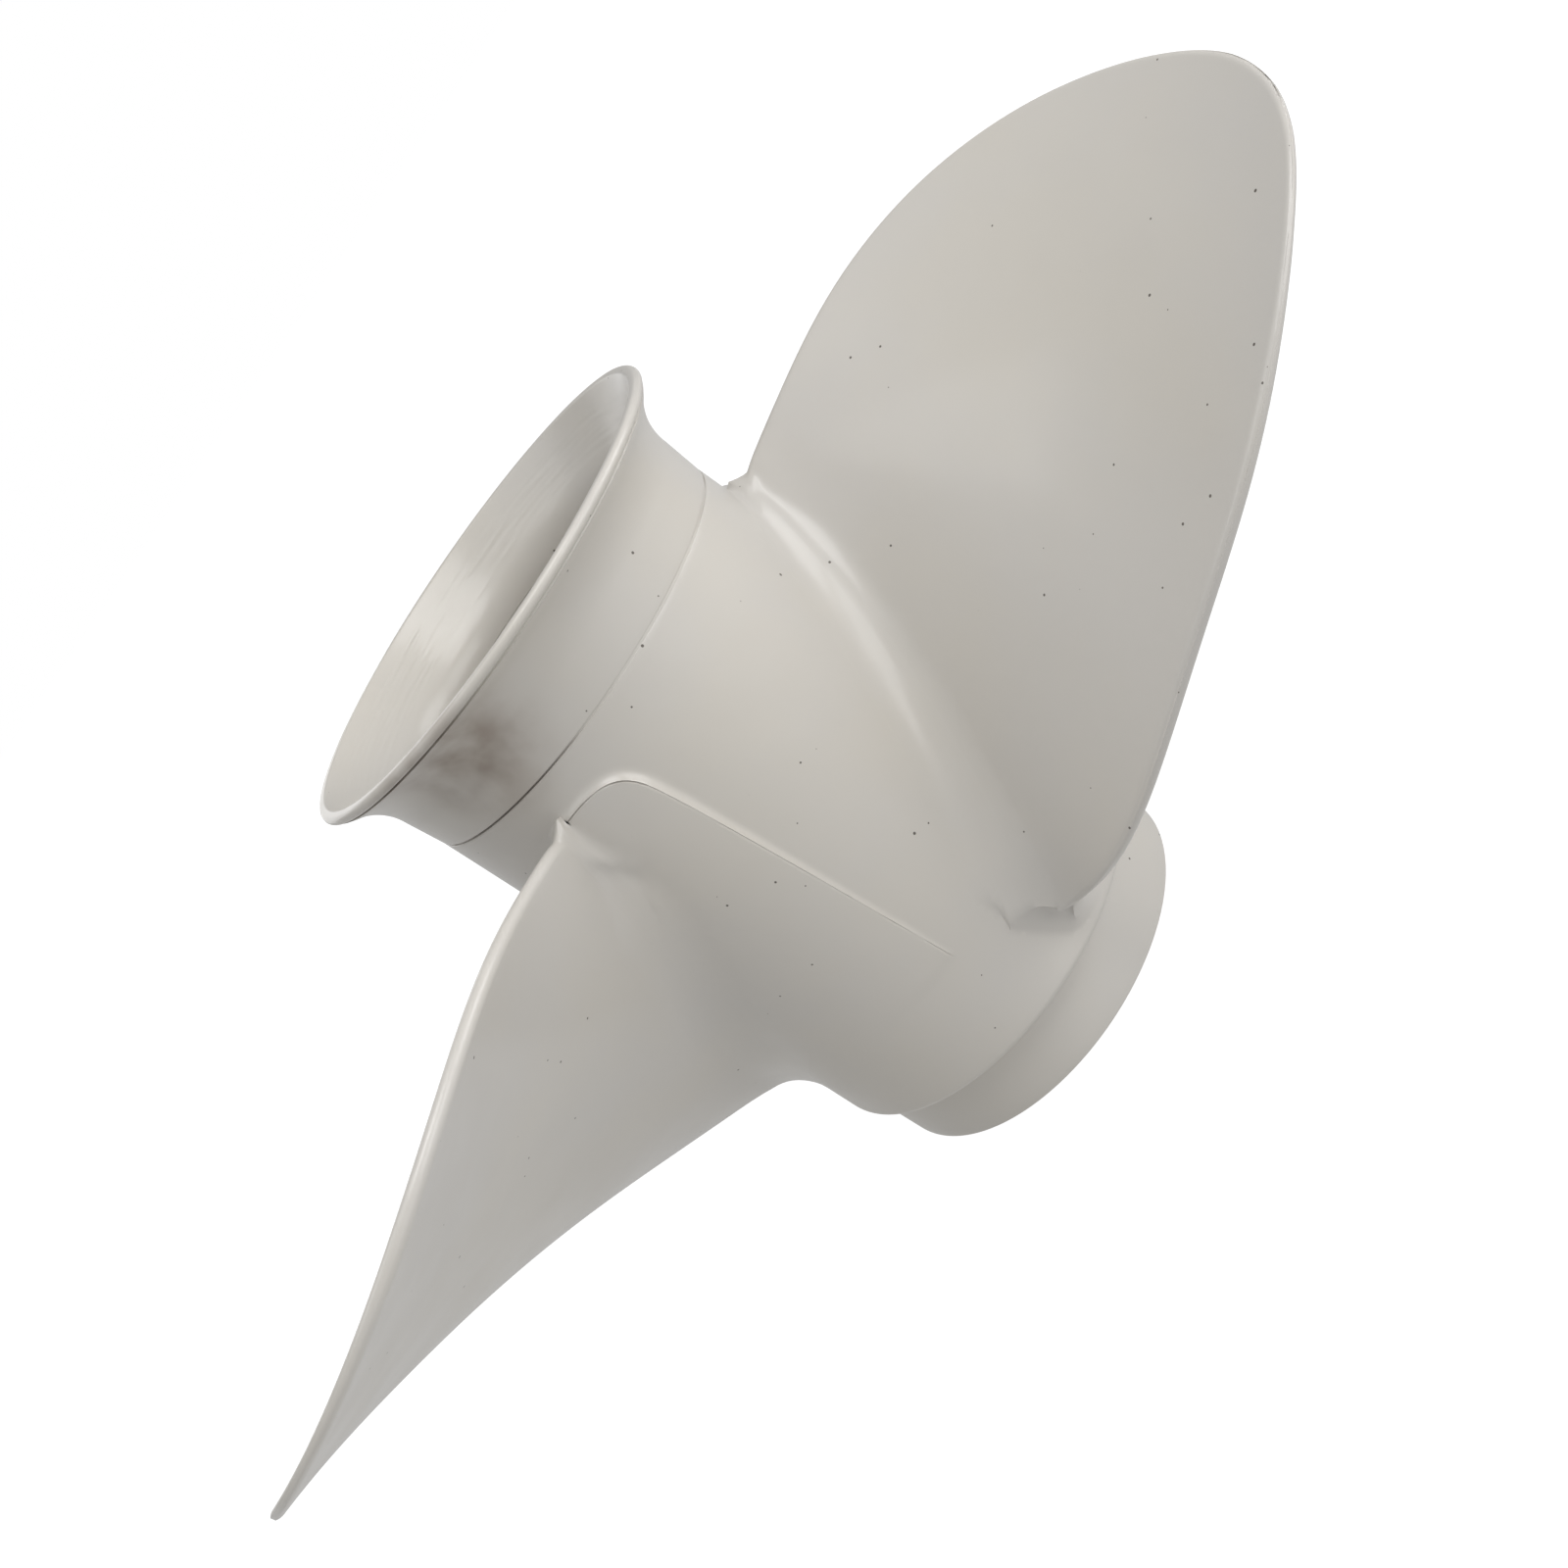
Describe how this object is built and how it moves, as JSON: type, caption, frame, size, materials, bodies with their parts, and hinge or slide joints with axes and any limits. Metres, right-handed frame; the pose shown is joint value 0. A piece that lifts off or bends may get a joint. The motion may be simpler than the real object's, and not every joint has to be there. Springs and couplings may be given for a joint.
{
  "type": "outboard motor propeller",
  "caption": "Cast aluminium boat propeller with broad swept blades, a hollow exhaust hub, a flared aft ring and a rubber-cushioned splined drive sleeve.",
  "frame": {"origin": "on the shaft's axis, in the plane of the front collar's flat end, which the propeller stands on", "axes": "+Z along the shaft's axis from the front collar towards the flared aft ring; +X across the shaft, 57.8 degrees clockwise from the tip of one blade as seen from aft"},
  "size_m": [0.2058, 0.2241, 0.1132],
  "materials": {
    "grey_white_paint": "semi-gloss warm off-white paint on cast aluminium",
    "black_rubber": "moulded rubber",
    "sleeve_brass": "machined brass, dull"
  },
  "bodies": {
    "root": {"propeller_casting": "grey_white_paint", "diffuser_ring": "grey_white_paint", "rubber_bushing": "black_rubber", "splined_sleeve": "sleeve_brass"}
  },
  "joints": []
}
